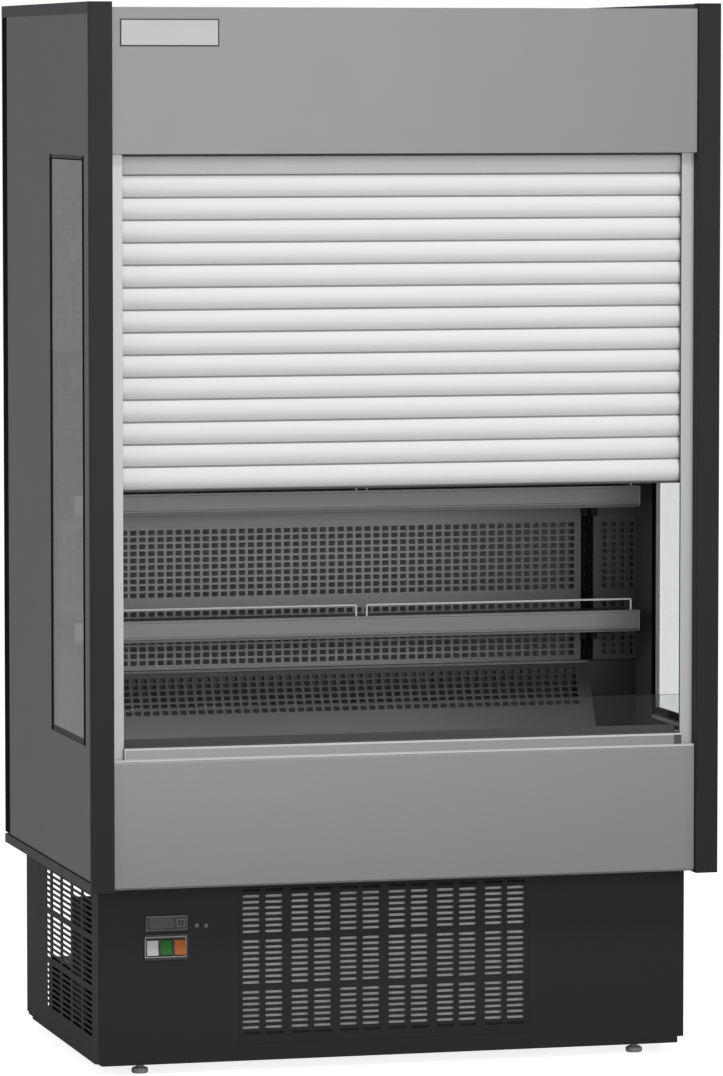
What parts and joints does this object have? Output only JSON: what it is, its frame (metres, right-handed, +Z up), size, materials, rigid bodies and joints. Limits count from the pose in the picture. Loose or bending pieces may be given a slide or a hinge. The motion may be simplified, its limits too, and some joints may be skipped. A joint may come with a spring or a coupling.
{
  "type": "open multideck display fridge",
  "caption": "Tall open-front display fridge with sloping air duct wall, shallow shelves, side windows, roll-down slatted shutter and a slotted machine base.",
  "frame": {"origin": "on the floor, under the middle of the cabinet's bounding box", "axes": "+X to the right as seen from the front, +Y to the rear, +Z up; the front faces -Y"},
  "size_m": [1.22, 0.806, 2.012],
  "materials": {
    "grey_paint": "satin mid grey powder coat",
    "charcoal_paint": "satin charcoal powder coat",
    "side_paint": "satin dark grey powder coat",
    "black_paint": "fine black powder coat",
    "shutter_paint": "white coated",
    "guide_metal": "pale anodised",
    "silver_rail": "satin anodised",
    "liner_paint": "satin grey powder coat",
    "shelf_paint": "satin grey powder coat",
    "glass": "clear",
    "foam": "coated sheet over foam",
    "steel": "brushed",
    "aluminium": "mill finish",
    "rubber": "matte",
    "black_plastic": "matte",
    "white_plastic": "gloss",
    "green_plastic": "gloss",
    "amber_plastic": "gloss",
    "lamp_cover": "opal"
  },
  "bodies": {
    "cabinet": {"base_frame": "black_paint", "base_front_panel": "black_paint", "front_grille": "black_paint", "side_grille_left": "black_paint", "side_grille_right": "black_paint", "foot_front_left": "rubber", "foot_front_right": "rubber", "foot_rear_left": "rubber", "foot_rear_right": "rubber", "cabinet_shell": "foam", "rear_cover": "black_paint", "end_panel_left": "side_paint", "end_panel_right": "side_paint", "side_glass_left": "glass", "side_glass_right": "glass", "end_trim_left": "charcoal_paint", "end_trim_right": "charcoal_paint", "header_fascia": "grey_paint", "front_bumper": "grey_paint", "sill_rail": "silver_rail", "riser_glass": "glass", "shutter_upper_slats": "shutter_paint", "shutter_guide_left": "guide_metal", "shutter_guide_right": "guide_metal", "canopy_liner": "liner_paint", "canopy_light": "lamp_cover", "duct_panel_center": "liner_paint", "duct_panel_left": "liner_paint", "duct_panel_right": "liner_paint", "shelf_standard_left": "charcoal_paint", "shelf_standard_right": "charcoal_paint", "lower_duct_panel": "liner_paint", "deck_pan": "liner_paint", "return_grille": "liner_paint", "shelf_1": "shelf_paint", "price_rail_1": "shelf_paint", "shelf_2": "shelf_paint", "price_rail_2": "shelf_paint", "shelf_3": "shelf_paint", "price_rail_3": "shelf_paint", "shelf_4": "shelf_paint", "price_rail_4": "shelf_paint", "fan_plate": "aluminium", "evaporator_coil": "aluminium", "condenser_coil": "aluminium", "condenser_shroud": "black_paint", "compressor": "black_paint", "controller": "black_plastic", "switch_frame": "black_plastic"},
    "shutter": {"shutter_bottom_bar": "shutter_paint", "shutter_lower_slats": "shutter_paint"},
    "barrel": {"shutter_barrel": "steel", "shutter_coil": "shutter_paint"},
    "evaporator_fan_left": {"evaporator_fan_left": "black_plastic"},
    "evaporator_fan_right": {"evaporator_fan_right": "black_plastic"},
    "condenser_fan": {"condenser_fan": "aluminium"},
    "controller_key": {"controller_key": "black_plastic"},
    "rocker_switch_1": {"rocker_switch_1": "white_plastic"},
    "rocker_switch_2": {"rocker_switch_2": "green_plastic"},
    "rocker_switch_3": {"rocker_switch_3": "amber_plastic"}
  },
  "joints": [
    {"name": "shutter_slide", "type": "slide", "parent": "cabinet", "child": "shutter", "axis": [0, 0, 1], "range_m": [-0.473, 0.62], "deforming": ["shutter_upper_slats"]},
    {"name": "barrel_turn", "type": "hinge", "parent": "cabinet", "child": "barrel", "pos_m": [0, -0.291, 1.895], "axis": [1, 0, 0], "range_deg": [-715, 545]},
    {"name": "evaporator_fan_left_spin", "type": "hinge", "parent": "cabinet", "child": "evaporator_fan_left", "pos_m": [-0.26, 0.015, 0.499], "axis": [0, 1, 0], "continuous": true},
    {"name": "evaporator_fan_right_spin", "type": "hinge", "parent": "cabinet", "child": "evaporator_fan_right", "pos_m": [0.26, 0.015, 0.499], "axis": [0, 1, 0], "continuous": true},
    {"name": "condenser_fan_spin", "type": "hinge", "parent": "cabinet", "child": "condenser_fan", "pos_m": [-0.02, -0.19, 0.19], "axis": [0, 1, 0], "continuous": true},
    {"name": "controller_key_press", "type": "slide", "parent": "cabinet", "child": "controller_key", "axis": [0, 1, 0], "range_m": [0, 0.001], "stiffness_N_per_m": 400},
    {"name": "rocker_switch_1_tilt", "type": "hinge", "parent": "cabinet", "child": "rocker_switch_1", "pos_m": [-0.4715, -0.303, 0.241], "axis": [1, 0, 0], "range_deg": [0, 14]},
    {"name": "rocker_switch_2_tilt", "type": "hinge", "parent": "cabinet", "child": "rocker_switch_2", "pos_m": [-0.445, -0.303, 0.241], "axis": [1, 0, 0], "range_deg": [0, 14]},
    {"name": "rocker_switch_3_tilt", "type": "hinge", "parent": "cabinet", "child": "rocker_switch_3", "pos_m": [-0.4185, -0.303, 0.241], "axis": [1, 0, 0], "range_deg": [0, 14]}
  ],
  "couplings": [
    {"joint": "barrel_turn", "follows": "shutter_slide", "rad_per_m": -20}
  ]
}
